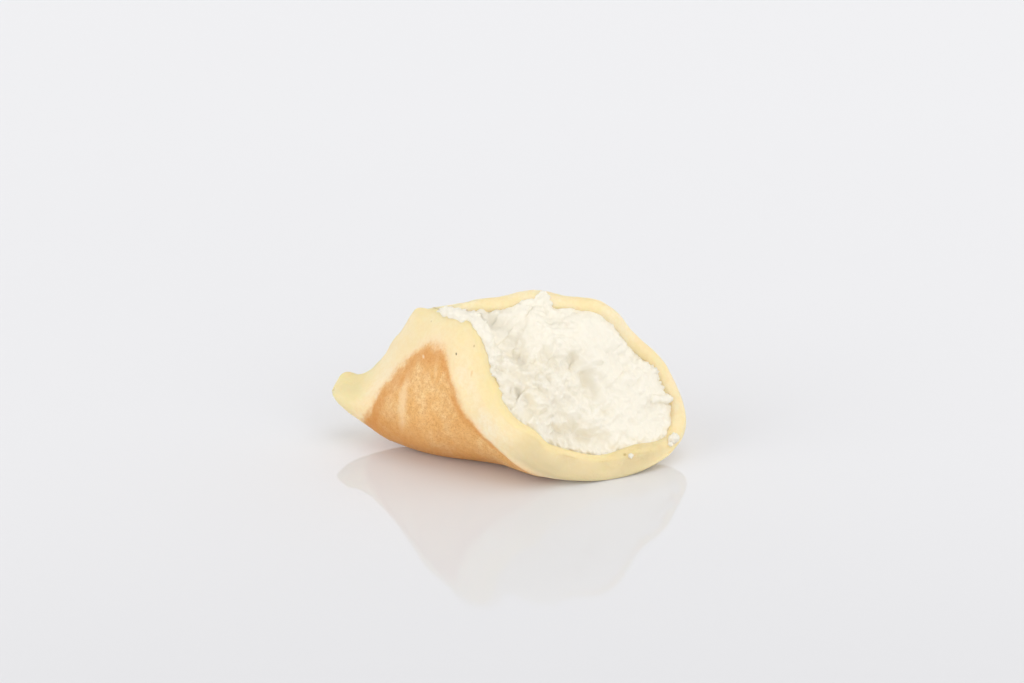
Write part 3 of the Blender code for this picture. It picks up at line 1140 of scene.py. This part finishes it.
def pancake_relief(n, out, turn):
    """Pores, low dimples and, on part of the lip, fine folds across it."""
    folds = n.math("SINE", n.product(n.math("ADD", turn, n.noise(4.0)), WRINKLES))
    where = n.ramp(turn, 0.02, 0.16), n.ramp(turn, 0.52, 0.30), n.ramp(out, 38.5, 40.5)
    relief = n.bump(n.noise(0.5, 3.0, 0.6), PORE_DEPTH)
    relief = n.bump(n.product(folds, *where), WRINKLE_DEPTH, relief)
    return n.bump(n.noise(2.2, 2.0), DIMPLE_DEPTH, relief)


def pancake_material():
    n = Nodes("pancake")
    to_mouth, to_front = n.attribute("flat_x"), n.attribute("flat_y")
    out, turn = n.length(to_mouth, to_front), n.math("ARCTAN2", to_front, to_mouth)
    wander, fray = n.wander(4.5, 5.0, 2.0, 0.5), n.wander(1.4, 0.8, 2.0, 0.6)
    inside = n.math("ADD", n.math("ADD", n.attribute("brown"), wander), fray)
    softness = n.ramp(to_mouth, -14.0, 2.0, 1.2, 2.2)
    browned = n.ramp(n.math("DIVIDE", inside, softness), -1.0, 1.0)
    pale = pale_colour(n, inside, to_mouth, out, turn)
    colour = n.mix(browned, pale, browned_colour(n, inside, to_front))
    colour = marked(n, colour, SPECKS, to_mouth, to_front)
    swaying = n.math("ADD", to_mouth, n.wander(3.0, 2.5, 3.0, 0.7))
    colour = marked(n, colour, PALE_STREAKS, swaying, to_front)
    n.set(Base_Color=colour, Roughness=0.55, Subsurface_Weight=0.35, Subsurface_Scale=1.0)
    n.set(Subsurface_Radius=(0.003, 0.0018, 0.0009), Normal=pancake_relief(n, out, turn))
    return n.material


def cream_material():
    n = Nodes("cream")
    tone = n.mix(n.ramp(n.noise(4.0, 3.0), 0.35, 0.7), CREAM_TONE, CREAM_LIGHT)
    # Painted light: the cream is whiter to the right and near the top.
    tone = n.mix(n.attribute("whiter_painted_light"), tone, CREAM_PAINTED_LIGHT)
    n.set(Base_Color=tone, Roughness=0.42, Subsurface_Weight=0.12, Subsurface_Scale=1.0)
    n.set(Subsurface_Radius=(0.003, 0.0025, 0.002), Normal=n.bump(n.noise(0.5, 3.0, 0.6), PORE_DEPTH))
    return n.material


def floor_material():
    n = Nodes("floor")
    n.set(Base_Color=(*FLOOR_TONE, 1.0), Roughness=0.04, Specular_IOR_Level=0.35)
    return n.material


def set_material(piece, material):
    piece.data.materials.clear()
    piece.data.materials.append(material)


# Camera, floor and light

# Where the camera looks and from how far, in millimetres.
AIM = (4.35, -0.47, 26.6)
DISTANCE = 600.0
ELEVATION = math.radians(20)
AZIMUTH = math.radians(19)
ROLL = math.radians(-2)
LENS = 100.0
# Half the floor's width, in metres.
FLOOR_REACH = 6.0
# The white surround: from this height of direction to that one, the light falls from
# its strength near the horizon to its strength overhead.
SKY = (0.36, 0.56, 1.42, 0.344)
SKY_COLOUR = (0.985, 0.985, 1.0, 1.0)
# Softboxes that face the object: name, place in metres, watts.
SOFTBOXES = (
    ("top_softbox", (0.30, 0.05, 1.0), 3.5),
    ("left_softbox", (-0.85, -0.75, 0.60), 4.5),
    ("right_softbox", (1.00, -0.65, 0.60), 3.6),
)
SOFTBOX_SIZE = 1.0
SOFTBOX_COLOUR = (1.0, 0.99, 0.97)


def add_camera():
    back = Vector(
        (
            math.sin(AZIMUTH) * math.cos(ELEVATION),
            -math.cos(AZIMUTH) * math.cos(ELEVATION),
            math.sin(ELEVATION),
        )
    )
    right = Vector((math.cos(AZIMUTH), math.sin(AZIMUTH), 0.0))
    turn = Matrix((right, back.cross(right), back)).transposed() @ Matrix.Rotation(ROLL, 3, "Z")
    data = bpy.data.cameras.new("camera")
    data.lens = LENS
    data.clip_start, data.clip_end = 0.01, 20.0
    camera = bpy.data.objects.new("camera", data)
    camera.matrix_world = Matrix.Translation((Vector(AIM) + back * DISTANCE) * MM) @ turn.to_4x4()
    bpy.context.scene.collection.objects.link(camera)
    bpy.context.scene.camera = camera


def add_floor():
    corners = np.array([(x, y, 0.0) for x, y in ((-1, -1), (1, -1), (1, 1), (-1, 1))])
    floor = mesh_of("floor", corners * FLOOR_REACH, [(0, 1, 2, 3)])
    if floor.data.polygons[0].normal.z < 0:
        floor.data.flip_normals()
    set_material(floor, floor_material())


def add_softbox(name, place, watts):
    """An area light that the glossy floor doesn't mirror."""
    data = bpy.data.lights.new(name, "AREA")
    data.size = SOFTBOX_SIZE
    data.energy = watts
    data.color = SOFTBOX_COLOUR
    light = bpy.data.objects.new(name, data)
    light.location = place
    light.rotation_mode = "QUATERNION"
    light.rotation_quaternion = Vector(place).to_track_quat("Z", "Y")
    light.visible_glossy = False
    bpy.context.scene.collection.objects.link(light)


def add_light():
    world = bpy.data.worlds.new("studio")
    world.use_nodes = True
    nodes, links = world.node_tree.nodes, world.node_tree.links
    where = nodes.new("ShaderNodeTexCoord")
    parts = nodes.new("ShaderNodeSeparateXYZ")
    falling = nodes.new("ShaderNodeMapRange")
    falling.interpolation_type = "SMOOTHSTEP"
    for name, value in zip(("From Min", "From Max", "To Min", "To Max"), SKY):
        falling.inputs[name].default_value = value
    links.new(where.outputs["Generated"], parts.inputs[0])
    links.new(parts.outputs["Z"], falling.inputs["Value"])
    links.new(falling.outputs["Result"], nodes["Background"].inputs["Strength"])
    nodes["Background"].inputs["Color"].default_value = SKY_COLOUR
    bpy.context.scene.world = world
    for name, place, watts in SOFTBOXES:
        add_softbox(name, place, watts)
    bpy.context.scene.view_settings.view_transform = "Standard"


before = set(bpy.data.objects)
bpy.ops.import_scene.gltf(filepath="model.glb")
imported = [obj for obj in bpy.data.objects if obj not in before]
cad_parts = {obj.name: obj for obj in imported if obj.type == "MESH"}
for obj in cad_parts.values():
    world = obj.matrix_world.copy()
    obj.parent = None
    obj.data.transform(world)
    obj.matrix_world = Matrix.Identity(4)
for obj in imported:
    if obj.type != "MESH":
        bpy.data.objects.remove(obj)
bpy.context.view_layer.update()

skin = build_pancake()
cream = build_cream()
crumbs = build_crumbs()
fit([skin, cream, crumbs], skin)
set_material(skin, pancake_material())
clotted = cream_material()
for piece in (cream, crumbs):
    set_material(piece, clotted)
for piece, node in ((skin, "pancake"), (cream, "cream"), (crumbs, "cream")):
    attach(piece, "root")
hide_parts("pancake")
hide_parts("cream")

add_camera()
add_floor()
add_light()
